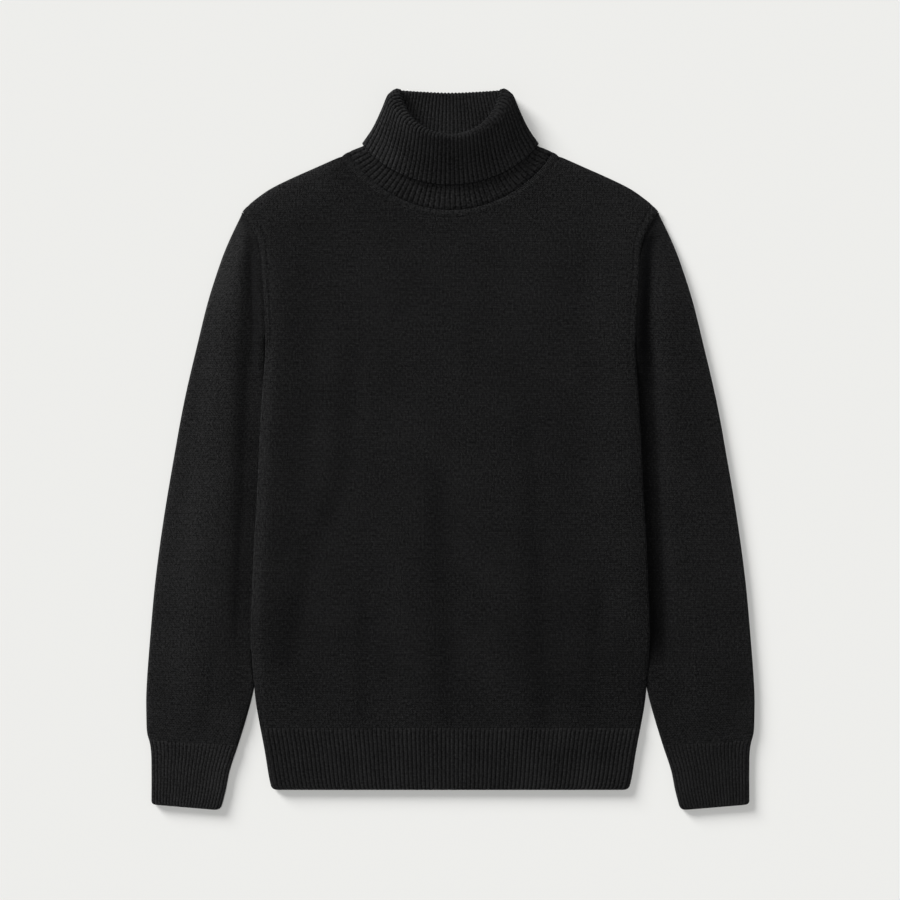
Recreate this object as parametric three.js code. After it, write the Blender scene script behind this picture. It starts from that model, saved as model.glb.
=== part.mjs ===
// A turtleneck sweater laid flat, front up, sleeves beside the body.
// Millimetres, +X to the right as seen, +Y towards the collar, +Z up from the table.
// The origin is in the middle of the sweater's footprint, on the table.
import * as THREE from 'three';

// The cloth.
const WALL = 2.4; // jersey and rib ground, one layer
const HALF = WALL / 2;
const SEAM = 0.3; // gap between two pieces at a seam
const RIB_RISE = 0.8; // how far a rib stands up from the ground
const TIGHT = 0.3; // air between two layers pressed together

// The body. Widths are half widths, from the middle line out.
const SHOULDER_Y = 255.4; // where the shoulder seam meets the sleeve
const ARMPIT_Y = 113;
const APEX_Y = -256; // below this the sleeve stands clear of the body
const HEM_TOP = -299.7;
const HEM_END = -366.7;
const BODY_AIR = 3.2; // between front and back, at the sides
const MIDDLE_AIR = 2.2;
const LIFT = 5.6; // the body's edge lies this high, on the sleeve
const TUCK = 8; // how far the sleeve reaches under the body's edge

// The neckline, as the panels have it, and the collar that is sewn into it.
const NECK_X = 116.1;
const NECK_SIDE_Y = 315.9;
const NECK_FRONT_Y = 251.6;
const NECK_BACK_Y = 301.2;
const NECK_ROUND = 0.8;
const RING_FLAT = 0.25; // how flat a ring of the neck lies; lower is flatter
const NECK_CLOSE = 18; // over this much of a panel its neckline comes down to the shoulder seam
const COLLAR_RIBS = 80;

// The rib knit of hem and cuffs.
const HEM_RIBS = 86;
const CUFF_RIBS = 21;
const SLEEVE_AIR = 3.4;
const CUFF_AIR = 2.6;
const HEM_AIR = 2.8;

const BLACK = '#1b1b1d';
const BLACK_RIB = '#18181a';

// The edge of the body as it shows: side seam, then armhole.
const BODY_EDGE = [
  { y: -380, x: 188.5 }, { y: -356.9, x: 194.9 }, { y: -324.5, x: 200.3 },
  { y: -281.3, x: 208.4 }, { y: -259.7, x: 211.2 }, { y: -205.7, x: 214.9 },
  { y: -162.5, x: 213.8 }, { y: -108.5, x: 211.7 }, { y: -54.5, x: 208.4 },
  { y: 24.3, x: 204.7 }, { y: 76.1, x: 201.4 }, { y: 104.2, x: 199.3 },
  { y: 131.2, x: 199.4 }, { y: 186.3, x: 202.5 }, { y: 214.4, x: 204.6 },
  { y: 230.6, x: 208.9 }, { y: 244.6, x: 216.4 }, { y: 255.4, x: 223.6 },
];

// The outer edge of the sleeve.
const SLEEVE_OUT = [
  { y: -400, x: 322.3 }, { y: -335, x: 322.3 }, { y: -319, x: 323.5 }, { y: -306, x: 327 },
  { y: -292, x: 327.8 }, { y: -260, x: 327.8 }, { y: -205.7, x: 324 }, { y: -140.9, x: 318.1 },
  { y: -76.1, x: 309.4 }, { y: -11.3, x: 298.6 }, { y: 53.5, x: 286.7 }, { y: 118.3, x: 271.6 },
  { y: 161.5, x: 260.8 }, { y: 204.7, x: 246.8 }, { y: 226.3, x: 238.1 }, { y: 253.3, x: 225.2 },
];

// The inner edge of the sleeve where it stands clear of the body.
const SLEEVE_IN = [
  { y: -256, x: 211.7 }, { y: -270.5, x: 214.9 }, { y: -292.1, x: 220.9 },
  { y: -318, x: 228.9 }, { y: -346.1, x: 238.1 }, { y: -367.7, x: 242.5 }, { y: -388.3, x: 247.9 },
];

// The top edge of the body, from the neck to the sleeve.
const SHOULDER = [
  { x: 116.1, y: 317 }, { x: 137.7, y: 307.3 }, { x: 173.9, y: 291.1 },
  { x: 194.9, y: 280.3 }, { x: 210.1, y: 269.5 }, { x: 216.5, y: 264 }, { x: 223.6, y: 256.7 },
];

// Soft troughs in the top layers: how deep, how wide, and the line each one follows.
const BODY_FOLDS = [
  { deep: 1.2, wide: 13, line: [[-108, 95], [-114, 8], [-120, -42], [-151, -110], [-179, -227]] },
  { deep: 0.9, wide: 9, line: [[-92, -160], [-94, -285]] },
  { deep: 1.5, wide: 15, line: [[-14, -30], [-8, -150], [-2, -290]] },
  { deep: 1.1, wide: 13, line: [[82, 20], [88, -73], [94, -166], [99, -290]] },
  { deep: 0.8, wide: 10, line: [[160, -150], [152, -283]] },
];
const SLEEVE_FOLDS = [
  { deep: 1.3, wide: 9, line: [[-216, 215], [-220, 140], [-236, 15], [-232, -90], [-230, -196]] },
  { deep: 0.9, wide: 12, line: [[-270, 60], [-285, -60], [-292, -180], [-288, -280]] },
  { deep: 1.3, wide: 10, line: [[216, 215], [222, 130], [226, 10], [228, -110], [226, -200]] },
  { deep: 0.8, wide: 13, line: [[262, 90], [276, -20], [284, -150], [282, -260]] },
];

// Rows up the body. The sleeve uses the same heights, so that their edges run together.
const BODY_ROWS = [
  -299.55, -282, -256, -222, -180, -130, -75, -20, 15, 45, 75, 100, 113, 126, 150, 175,
  200, 222, 236, 246,
];
const SLEEVE_TOP = 246;
const NECK_ROWS = 230; // rows above this have a column for each step of the neckline
const NECK_STEPS = 10;
const SHOWN_COLUMNS = [0, 0.09, 0.19, 0.3, 0.41, 0.52, 0.63, 0.74, 0.84, 0.93, 1, 1.5, 2];
const PLAIN_COLUMNS = [0, 0.2, 0.4, 0.6, 0.78, 0.92, 1, 1.5, 2];

const clamp = (x, low = 0, high = 1) => Math.min(high, Math.max(low, x));
const mix = (a, b, k) => a + (b - a) * k;
const RIGHT = Math.PI / 2;

// 0 below a, 1 above b, with a soft start and end.
function ease(a, b, x) {
  const k = clamp((x - a) / (b - a));
  return k * k * (3 - 2 * k);
}

// A smooth value read from a table: to is the column wanted, by the one that is known.
function read(table, by, to, at) {
  const rows = table[0][by] < table[table.length - 1][by] ? table : [...table].reverse();
  const last = rows.length - 1;
  const x = clamp(at, rows[0][by], rows[last][by]);
  let i = 0;
  while (i < last - 1 && x > rows[i + 1][by]) i += 1;
  const slope = (k) => {
    const a = rows[Math.max(k - 1, 0)];
    const b = rows[Math.min(k + 1, last)];
    return (b[to] - a[to]) / (b[by] - a[by]);
  };
  const h = rows[i + 1][by] - rows[i][by];
  const t = (x - rows[i][by]) / h;
  const a = rows[i][to];
  const b = rows[i + 1][to];
  return a * (1 + 2 * t) * (1 - t) ** 2 + b * t * t * (3 - 2 * t)
    + h * (slope(i) * t * (1 - t) ** 2 - slope(i + 1) * t * t * (1 - t));
}

// How far a point is from a line of points.
function away(x, y, line) {
  let best = Infinity;
  for (let i = 1; i < line.length; i += 1) {
    const [ax, ay] = line[i - 1];
    const [bx, by] = line[i];
    const dx = bx - ax;
    const dy = by - ay;
    const t = clamp(((x - ax) * dx + (y - ay) * dy) / (dx * dx + dy * dy));
    best = Math.min(best, Math.hypot(x - ax - t * dx, y - ay - t * dy));
  }
  return best;
}

function dip(folds, x, y) {
  return folds.reduce((sum, f) => sum + f.deep * Math.exp(-((away(x, y, f.line) / f.wide) ** 2)), 0);
}

// Stitches two rows of points together. Each point is { at, id }, with at rising along the row.
function stitch(a, b, faces, round) {
  const along = (row, i) => (i < row.length ? row[i].at : row[0].at + round);
  const endA = round ? a.length : a.length - 1;
  const endB = round ? b.length : b.length - 1;
  let i = 0;
  let j = 0;
  while (i < endA || j < endB) {
    const nextA = i < endA ? along(a, i + 1) : Infinity;
    const nextB = j < endB ? along(b, j + 1) : Infinity;
    const p = a[i % a.length].id;
    const q = b[j % b.length].id;
    if (nextA <= nextB + 1e-9) {
      i += 1;
      faces.push([p, a[i % a.length].id, q]);
    } else {
      j += 1;
      faces.push([p, b[j % b.length].id, q]);
    }
  }
}

// A closed wall between an outer and an inner skin. A skin is a list of rows, { v, points },
// and a point is { at, p }. round is the length of the at scale where the rows close on themselves.
function wall(outer, inner, round = 0) {
  const places = [];
  const numbered = (skin) => skin.map((row) => ({
    v: row.v,
    points: row.points.map(({ at, p }) => ({ at, id: places.push(p) - 1 })),
  }));
  const out = numbered(outer);
  const inn = numbered(inner);
  const faces = [];
  const back = [];
  for (let i = 1; i < out.length; i += 1) stitch(out[i - 1].points, out[i].points, faces, round);
  for (let i = 1; i < inn.length; i += 1) stitch(inn[i - 1].points, inn[i].points, back, round);
  back.forEach(([p, q, r]) => faces.push([r, q, p]));
  stitch(inn[0].points, out[0].points, faces, round);
  stitch(out[out.length - 1].points, inn[inn.length - 1].points, faces, round);
  if (!round) {
    const edge = (skin, end) => skin.map(({ v, points }) => (
      { at: v, id: points[end ? points.length - 1 : 0].id }));
    stitch(edge(out, 0), edge(inn, 0), faces, 0);
    stitch(edge(inn, 1), edge(out, 1), faces, 0);
  }
  return solid(places, faces);
}

function solid(places, faces) {
  const [a, b, c, n] = [0, 1, 2, 3].map(() => new THREE.Vector3());
  let volume = 0;
  for (const [p, q, r] of faces) {
    volume += a.copy(places[p]).dot(n.crossVectors(b.copy(places[q]), c.copy(places[r])));
  }
  const index = faces.flatMap(([p, q, r]) => (volume > 0 ? [p, q, r] : [r, q, p]));
  const geometry = new THREE.BufferGeometry();
  geometry.setAttribute('position', new THREE.Float32BufferAttribute(places.flatMap((p) => p.toArray()), 3));
  geometry.setIndex(index);
  geometry.computeVertexNormals();
  return geometry;
}

// The direction out of a sheet at u, v. up is +1 or -1, so that it points away from the inside.
function facing(sheet, u, v, range, up) {
  const du = (range.u[1] - range.u[0]) * 2e-4;
  const dv = (range.v[1] - range.v[0]) * 2e-5;
  const at = (p, q) => sheet(clamp(p, ...range.u), clamp(q, ...range.v));
  const along = at(u + du, v).sub(at(u - du, v));
  const across = at(u, v + dv).sub(at(u, v - dv));
  return along.cross(across).normalize().multiplyScalar(up);
}

// Body and hem. u runs across: up to 1 on the flat and on to 2 round the edge, with its sign.

const edgeX = (y) => read(BODY_EDGE, 'y', 'x', y);
const closedSide = (y) => 1 - ease(ARMPIT_Y - 12, ARMPIT_Y + 12, y);
const liftAt = (y) => LIFT * ease(-288, -222, y) * (1 - ease(125, 250, y));
const noseOf = (air) => (WALL + air) / 2;

// Half the width at the middle of the wall.
function midEdge(y) {
  return edgeX(y) - mix(SEAM / 2, HALF, clamp(closedSide(y) * 12));
}

function acrossBody(u, y) {
  const nose = noseOf(BODY_AIR);
  const q = Math.abs(u);
  const flat = midEdge(y) - nose;
  const x = q <= 1 ? flat * q : flat + nose * Math.cos(RIGHT * (2 - q));
  return { x, turn: q <= 1 ? 1 : Math.sin(RIGHT * (2 - q)) };
}

// 0 where the neckline is open, 1 along the shoulder seam.
function closedTop(x, front) {
  return x >= NECK_X ? 1 : 1 - (1 - (x / NECK_X) ** 2) ** (front ? RING_FLAT / 2 : 0.05);
}

function topEdge(x, front) {
  if (x >= NECK_X) return read(SHOULDER, 'x', 'y', x) - HALF;
  const low = front ? NECK_FRONT_Y : NECK_BACK_Y;
  const open = (1 - (x / NECK_X) ** 2) ** NECK_ROUND;
  return mix(NECK_SIDE_Y, low, open) - SEAM;
}

function airAt(x, y) {
  const side = ease(70, 15, edgeX(y) - Math.abs(x));
  const neck = 1 - ease(0, 70, Math.hypot(x * 0.7, Math.max(0, 250 - y)));
  const plain = mix(MIDDLE_AIR, BODY_AIR, side) - 0.6 * neck;
  return Math.max(TIGHT, plain - dip(BODY_FOLDS, x, y) * (1 - side));
}

const bothSides = (half) => [...half.slice(1).reverse().map((q) => -q), ...half];

// The middle of a body panel's wall. y is the height of the row at the body's edge.
function bodySheet(front) {
  return (u, y) => {
    const { x, turn } = acrossBody(u, y);
    const xTop = acrossBody(u, SHOULDER_Y).x;
    const rise = clamp((y - HEM_TOP) / (SHOULDER_Y - HEM_TOP)) ** 2;
    const nose = noseOf(BODY_AIR);
    const fromTop = clamp((SHOULDER_Y - y) / nose);
    const turnTop = xTop >= NECK_X - SEAM
      ? Math.sqrt(1 - (1 - fromTop) ** 2) : ease(0, NECK_CLOSE, SHOULDER_Y - y);
    const over = mix(1, turn, closedSide(y)) * mix(1, turnTop, closedTop(xTop, front));
    const height = y + (topEdge(xTop, front) - SHOULDER_Y) * rise;
    const lift = liftAt(y) * (1 - ease(12, 60, edgeX(y) - x));
    const low = HALF + lift;
    const high = low + WALL + airAt(x * Math.sign(u), height);
    const seam = (low + high) / 2 + (front ? SEAM : -SEAM) / 2;
    return new THREE.Vector3(x * Math.sign(u), height, mix(seam, front ? high : low, over));
  };
}

function bodyPanel(front) {
  const sheet = bodySheet(front);
  const rows = [...BODY_ROWS, ...topRows()];
  const range = { u: [-2, 2], v: [BODY_ROWS[0], SHOULDER_Y] };
  const fine = neckColumns();
  const columns = (y, side) => {
    if (y > NECK_ROWS) return fine;
    return front && side > 0 ? bothSides(SHOWN_COLUMNS) : bothSides(PLAIN_COLUMNS);
  };
  const skin = (side) => rows.map((y) => ({
    v: y,
    points: columns(y, side).map((u) => {
      const n = facing(sheet, u, y, range, front ? 1 : -1);
      if (y === rows[0]) n.setY(0).normalize();
      return { at: u, p: sheet(u, y).addScaledVector(n, side * HALF) };
    }),
  }));
  return wall(skin(1), skin(-1));
}

// Columns of the rows near the neck: the neckline's own steps, the shoulder, round the edge.
function neckColumns() {
  const flat = acrossBody(1, SHOULDER_Y).x;
  const half = [];
  for (let i = 0; i <= NECK_STEPS; i += 1) half.push((NECK_X * Math.sin((i / NECK_STEPS) * RIGHT)) / flat);
  for (const share of [0.25, 0.5, 0.75, 1]) half.push(mix(NECK_X / flat, 1, share));
  return bothSides([...half, 1.5, 2]);
}

function topRows() {
  const nose = noseOf(BODY_AIR);
  return [nose, nose * 0.3, 0].map((below) => SHOULDER_Y - below);
}

// The hem rib: a front and a back, closed at the sides like the body.
function hemSheet(front) {
  return (u, y) => {
    const { x, turn } = acrossBody(u, y);
    const low = HALF;
    const high = low + WALL + mix(airAt(x * Math.sign(u), HEM_TOP), HEM_AIR, ease(HEM_TOP, HEM_END, y));
    const seam = (low + high) / 2 + (front ? SEAM : -SEAM) / 2;
    return new THREE.Vector3(x * Math.sign(u), y, mix(seam, front ? high : low, turn));
  };
}

// Points across n ribs between two values: a valley and the two sides of a crest for each.
function ribColumns(from, to, n) {
  const out = [];
  for (let i = 0; i < n; i += 1) {
    [0, 0.32, 0.68].forEach((f, k) => out.push({ u: mix(from, to, (i + f) / n), rise: k ? 1 : 0 }));
  }
  out.push({ u: to, rise: 0 });
  return out;
}

function hemPiece(front) {
  const sheet = hemSheet(front);
  const rows = [HEM_TOP - SEAM / 2, mix(HEM_TOP, HEM_END, 0.5), HEM_END].reverse();
  const range = { u: [-2, 2], v: [HEM_END, HEM_TOP] };
  const edge = [1.4, 1.7, 2].map((u) => ({ u, rise: 0 }));
  const left = edge.map(({ u }) => ({ u: -u, rise: 0 })).reverse();
  const plain = [-1, -0.66, -0.33, 0, 0.33, 0.66, 1].map((u) => ({ u, rise: 0 }));
  const skin = (side, columns) => rows.map((y) => ({
    v: y,
    points: columns.map(({ u, rise }) => {
      const n = facing(sheet, u, y, range, front ? 1 : -1).setY(0).normalize();
      return { at: u, p: sheet(u, y).addScaledVector(n, side * HALF + rise * RIB_RISE) };
    }),
  }));
  const shown = front ? [...left, ...ribColumns(-1, 1, HEM_RIBS), ...edge] : [...left, ...plain, ...edge];
  return wall(skin(1, shown), skin(-1, [...left, ...plain, ...edge]));
}

// Sleeves and cuffs. c runs round the tube: 0 to 1 the lower inner edge, 1 to 2 the lower
// layer, 2 to 3 the outer edge, 3 to 4 the upper layer, 4 to 5 the upper inner edge.

const tuckAt = (y) => TUCK * (1 - ease(12, 62, y)) * ease(-228, -150, y);

// The ends of the line across the sleeve at one height, at the middle of its wall.
function sleeveLine(y) {
  const closed = clamp(closedSide(y) * 12);
  const beside = edgeX(y) + mix(SEAM / 2, SEAM + HALF, closed) - tuckAt(y);
  const clear = read(SLEEVE_IN, 'y', 'x', y) + HALF;
  const apex = ease(APEX_Y + 10, APEX_Y - 6, y);
  const outerY = y + 5.4 * ease(-220, -312, y) + 4 * ease(205, SLEEVE_TOP, y);
  return {
    inner: [mix(beside, clear, apex), y],
    outer: [read(SLEEVE_OUT, 'y', 'x', outerY) - HALF, outerY],
  };
}

// side is +1 for the sleeve at +X and -1 for the other one.
function sleeveSection(side) {
  return (c, y, gap = SEAM, airWanted = SLEEVE_AIR) => {
    const { inner, outer } = sleeveLine(y);
    const wide = Math.hypot(outer[0] - inner[0], outer[1] - inner[1]);
    const closed = closedSide(y);
    const raised = LIFT * (1 - ease(125, 250, y)) * ease(55, 104, y);
    const spot = (q) => [mix(inner[0], outer[0], q / wide), mix(inner[1], outer[1], q / wide)];
    const low = (q) => HALF + raised * (1 - ease(2.5, 14, q));
    const near = mix(BODY_AIR * (1 - ease(200, SLEEVE_TOP, y)) + TIGHT, TIGHT, closed);
    const full = mix(airWanted, TIGHT, ease(190, SLEEVE_TOP, y));
    const clearOf = ease(-232, -300, y);
    const air = (q) => {
      const [x, yy] = spot(q);
      const k = ease(2, 26, q - tuckAt(y) + 22 * clearOf);
      const fall = dip(SLEEVE_FOLDS, x * side, yy) * ease(0, 30, q) * ease(0, 22, wide - q);
      return Math.max(TIGHT, mix(near, full, k) - fall);
    };
    const top = (q) => low(q) + WALL + air(q);
    const rIn = Math.min(noseOf(air(1)), wide * 0.3);
    const rOut = Math.min(noseOf(air(wide - 3)), wide * 0.3);
    const place = () => {
      if (c <= 1 || c >= 4) {
        const turn = RIGHT * (c <= 1 ? c : 5 - c);
        const q = rIn * (1 - Math.cos(turn));
        const [zLow, zTop] = [low(q), top(q)];
        const half = ((c <= 1 ? -1 : 1) * gap) / 2;
        const seam = (zLow + zTop) / 2 + half;
        return [q, mix(seam, c <= 1 ? zLow : zTop, mix(1, Math.sin(turn), closed))];
      }
      const span = wide - rIn - rOut;
      if (c < 2) return [rIn + span * (c - 1), low(rIn + span * (c - 1))];
      if (c > 3) return [wide - rOut - span * (c - 3), top(wide - rOut - span * (c - 3))];
      const turn = Math.PI * (c - 2) - RIGHT;
      const q = wide - rOut;
      return [q + rOut * Math.cos(turn), mix(low(q), top(q), (1 + Math.sin(turn)) / 2)];
    };
    const [q, z] = place();
    const [x, yy] = spot(q);
    return new THREE.Vector3(x, yy, z);
  };
}

// The direction out of the tube, in the upright plane of its section.
function tubeFacing(section, c, y, round) {
  const step = 1e-3;
  const before = round && c < step ? section(5 - step, y) : section(clamp(c - step, 0, 5), y);
  const after = section(clamp(c + step, 0, 5), y);
  const [a, b] = [section(1.001, y), section(3, y)];
  const flat = new THREE.Vector3(b.x - a.x, b.y - a.y, 0).normalize();
  const t = after.sub(before);
  const run = t.dot(flat);
  return flat.multiplyScalar(t.z).add(new THREE.Vector3(0, 0, -run)).normalize();
}

function mirrored(geometry, side) {
  if (side > 0) return geometry;
  const position = geometry.getAttribute('position');
  for (let i = 0; i < position.count; i += 1) position.setX(i, -position.getX(i));
  const index = [...geometry.index.array];
  for (let i = 0; i < index.length; i += 3) [index[i], index[i + 2]] = [index[i + 2], index[i]];
  geometry.setIndex(index);
  geometry.computeVertexNormals();
  return geometry;
}

function sleevePiece(side) {
  const section = sleeveSection(side);
  const columns = [
    0, 0.4, 1, 1.2, 1.5, 1.8, 2, 2.25, 2.5, 2.75, 3, 3.12, 3.26, 3.4, 3.55, 3.7, 3.82, 3.92, 4, 4.6, 5,
  ];
  const cuffLine = -318.1 + SEAM / 2;
  const rows = [cuffLine, -305, ...BODY_ROWS];
  const skin = (way) => rows.map((y) => ({
    v: y,
    points: columns.map((c) => {
      const n = tubeFacing(section, c, y, false);
      return { at: c, p: section(c, y).addScaledVector(n, way * HALF) };
    }),
  }));
  return mirrored(wall(skin(1), skin(-1)), side);
}

function cuffPiece(side) {
  const plainSection = sleeveSection(side);
  const section = (c, y) => plainSection(c, y, 0, CUFF_AIR);
  const bend = [0, 0.5, 1, 1.5, 2, 2.25, 2.5, 2.75].map((u) => ({ u, rise: 0 }));
  const ribbed = [...bend, ...ribColumns(3, 4, CUFF_RIBS), { u: 4.5, rise: 0 }];
  const plain = [...bend, ...[3, 3.35, 3.65, 4, 4.5].map((u) => ({ u, rise: 0 }))];
  const rows = [-388.3, -354, -325, -318.1 - SEAM / 2];
  const skin = (way, columns) => rows.map((y) => ({
    v: y,
    points: columns.map(({ u, rise }) => {
      const n = tubeFacing(section, u, y, true);
      return { at: u, p: section(u, y).addScaledVector(n, way * HALF + rise * RIB_RISE) };
    }),
  }));
  return mirrored(wall(skin(1, ribbed), skin(-1, plain), 5), side);
}

// The collar. Each ring has its half width, the heights of its sides, front and back on the
// table, and how high its front and back lie above it.
const COLLAR_RINGS = {
  base: { wide: 109.2, side: 319.6, front: 257.4, back: 307, zFront: 5.2, zBack: 1.2 },
  low: { wide: 88, side: 325.5, front: 283, back: 319, zFront: 7.6, zBack: 4.4 },
  high: { wide: 75, side: 352, front: 311, back: 352, zFront: 9.4, zBack: 4.4 },
  fold: { wide: 60.5, side: 383.6, front: 337.3, back: 381.2, zFront: 14.4, zBack: 4.4 },
  turned: { wide: 67, side: 383.6, front: 337.3, back: 381.2, zFront: 20.2, zBack: 1.2 },
  over: { wide: 74, side: 366.7, front: 325, back: 367, zFront: 18, zBack: 1.2 },
  lower: { wide: 84, side: 345, front: 306, back: 349, zFront: 14.8, zBack: 1.2 },
  free: { wide: 94, side: 327.5, front: 287, back: 330, zFront: 12, zBack: 1.2 },
};
const FOLD_STEPS = 2;

// One ring as points evenly spaced from the middle of the back, round by +X, front and -X.
function ringPoints(ring, shares) {
  const steps = 480;
  const line = [];
  for (let i = 0; i <= steps; i += 1) {
    const turn = (i / steps) * 2 * Math.PI;
    const across = Math.sin(turn);
    const toBack = Math.cos(turn);
    const open = Math.abs(toBack);
    const end = toBack > 0 ? ring.back : ring.front;
    const half = (ring.zFront - ring.zBack) / 2;
    const z = (ring.zFront + ring.zBack) / 2 - Math.sign(toBack) * half * open ** RING_FLAT;
    line.push(new THREE.Vector3(ring.wide * across, mix(ring.side, end, open ** (2 * NECK_ROUND)), z));
  }
  const far = [0];
  for (let i = 1; i <= steps; i += 1) far.push(far[i - 1] + line[i].distanceTo(line[i - 1]));
  let i = 1;
  return shares.map((share) => {
    const want = share * far[steps];
    while (i < steps && far[i] < want) i += 1;
    return line[i - 1].clone().lerp(line[i], (want - far[i - 1]) / (far[i] - far[i - 1]));
  });
}

// Shares of the way round: three points for each rib in front, two for each at the back.
function collarColumns() {
  const out = [];
  for (let i = 0; i < COLLAR_RIBS; i += 1) {
    const share = i / COLLAR_RIBS;
    const front = share > 0.2 && share < 0.8;
    (front ? [0, 0.32, 0.68] : [0, 0.5]).forEach((f, k) => {
      const at = (i + f) / COLLAR_RIBS;
      const corner = Math.abs(Math.abs(at - 0.5) - 0.28) < 0.035;
      out.push({ at, rise: k ? 1 : 0, kept: corner || (k === 0 && i % 2 === 0) });
    });
  }
  return out;
}

function collarRows(shares) {
  const r = COLLAR_RINGS;
  const [base, low, high, fold, turned, over, lower, free] = [
    r.base, r.low, r.high, r.fold, r.turned, r.over, r.lower, r.free,
  ].map((ring) => ringPoints(ring, shares));
  const bends = [];
  for (let k = 1; k <= FOLD_STEPS; k += 1) {
    const turn = (Math.PI * k) / (FOLD_STEPS + 1);
    bends.push(fold.map((p, i) => {
      const middle = p.clone().add(turned[i]).multiplyScalar(0.5);
      const half = p.clone().sub(middle);
      const ahead = p.clone().sub(high[i]).normalize();
      return middle.addScaledVector(half, Math.cos(turn))
        .addScaledVector(ahead, half.length() * Math.sin(turn));
    }));
  }
  return [base, low, high, fold, ...bends, turned, over, lower, free];
}

function collarPiece() {
  const columns = collarColumns();
  const rows = collarRows(columns.map(({ at }) => at));
  const foldRow = 3;
  const last = rows.length - 1;
  const n = columns.length;
  const out = (k, i) => {
    const along = rows[k][(i + 1) % n].clone().sub(rows[k][(i + n - 1) % n]);
    const up = rows[Math.min(k + 1, last)][i].clone().sub(rows[Math.max(k - 1, 0)][i]);
    return along.cross(up).normalize();
  };
  const moved = (k, i, far) => ({
    at: columns[i].at, p: rows[k][i].clone().addScaledVector(out(k, i), far),
  });
  // The face towards the neck, which shows again on the part that is folded over.
  const neckFace = rows.map((row, k) => ({
    v: k,
    points: row.map((p, i) => {
      const shown = k > foldRow ? ease(2, 5, p.z) : Math.min(k, 1);
      return moved(k, i, HALF + columns[i].rise * shown * RIB_RISE);
    }),
  }));
  // The other face shows in front, from the base to under the free edge.
  const otherFace = rows.map((row, k) => ({
    v: k,
    points: row.map((p, i) => {
      const shown = k < 2 ? ease(3, 5, p.z) : 0;
      return moved(k, i, -HALF - columns[i].rise * shown * RIB_RISE);
    }).filter((point, i) => k < 2 || columns[i].kept),
  }));
  return wall(neckFace, otherFace, 1);
}

// The band over the seam where the collar is sewn in.
function bandPiece() {
  const edges = [0, 0.5, 1].map((v) => ({
    wide: mix(NECK_X - 2 * SEAM, COLLAR_RINGS.base.wide + 5 * SEAM, v),
    side: mix(NECK_SIDE_Y + HALF + 2 * SEAM, COLLAR_RINGS.base.side - 2 * SEAM, v),
    front: mix(NECK_FRONT_Y + SEAM, COLLAR_RINGS.base.front - SEAM - 0.1, v),
    back: mix(NECK_BACK_Y + SEAM, COLLAR_RINGS.base.back - SEAM - 0.1, v),
    zFront: mix(HALF + WALL + airAt(0, NECK_FRONT_Y), COLLAR_RINGS.base.zFront, v),
    zBack: HALF,
  }));
  const bandSheet = (turn, v) => {
    const k = clamp(v) * 2;
    const [a, b] = k <= 1 ? [edges[0], edges[1]] : [edges[1], edges[2]];
    const f = k <= 1 ? k : k - 1;
    const at = (name) => mix(a[name], b[name], f);
    const open = Math.abs(Math.cos(turn));
    const back = Math.cos(turn) > 0;
    const half = (at('zFront') - at('zBack')) / 2;
    const z = at('zBack') + half + (back ? -1 : 1) * half * open ** RING_FLAT;
    const y = mix(at('side'), back ? at('back') : at('front'), open ** (2 * NECK_ROUND));
    return new THREE.Vector3(at('wide') * Math.sin(turn), y, z);
  };
  const turns = (steps) => Array.from({ length: steps }, (_, i) => (i / steps) * 2 * Math.PI);
  const skin = (side) => [0, 0.5, 1].map((v) => ({
    v,
    points: turns(v === 0 ? 4 * NECK_STEPS : 6 * NECK_STEPS).map((turn) => {
      const n = facing(bandSheet, turn, v, { u: [-1, 8], v: [0, 1] }, -1);
      const high = side > 0 && v === 0.5 ? ease(2, 4, bandSheet(turn, v).z) : 0;
      return { at: turn, p: bandSheet(turn, v).addScaledVector(n, side * HALF + high) };
    }),
  }));
  return wall(skin(1), skin(-1), 2 * Math.PI);
}

function cloth(name, geometry, color, roughness) {
  const mesh = new THREE.Mesh(geometry, new THREE.MeshStandardMaterial({ color, roughness, metalness: 0 }));
  mesh.name = name;
  return mesh;
}

const sweater = new THREE.Group();
sweater.add(
  cloth('back_panel', bodyPanel(false), BLACK, 0.95),
  cloth('front_panel', bodyPanel(true), BLACK, 0.95),
  cloth('hem_rib_back', hemPiece(false), BLACK_RIB, 0.95),
  cloth('hem_rib_front', hemPiece(true), BLACK_RIB, 0.95),
  cloth('sleeve_left', sleevePiece(-1), BLACK, 0.95),
  cloth('sleeve_right', sleevePiece(1), BLACK, 0.95),
  cloth('cuff_left', cuffPiece(-1), BLACK_RIB, 0.95),
  cloth('cuff_right', cuffPiece(1), BLACK_RIB, 0.95),
  cloth('neck_band', bandPiece(), BLACK, 0.95),
  cloth('collar', collarPiece(), BLACK_RIB, 0.95),
);

export default sweater;
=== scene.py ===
"""A black turtleneck sweater laid flat: jersey panels and sleeves, ribbed hem, cuffs and collar.

The forms are worked out in millimetres and put in place in metres. +X is to the right as seen,
+Y towards the collar, +Z up from the table.
"""
import math

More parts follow.
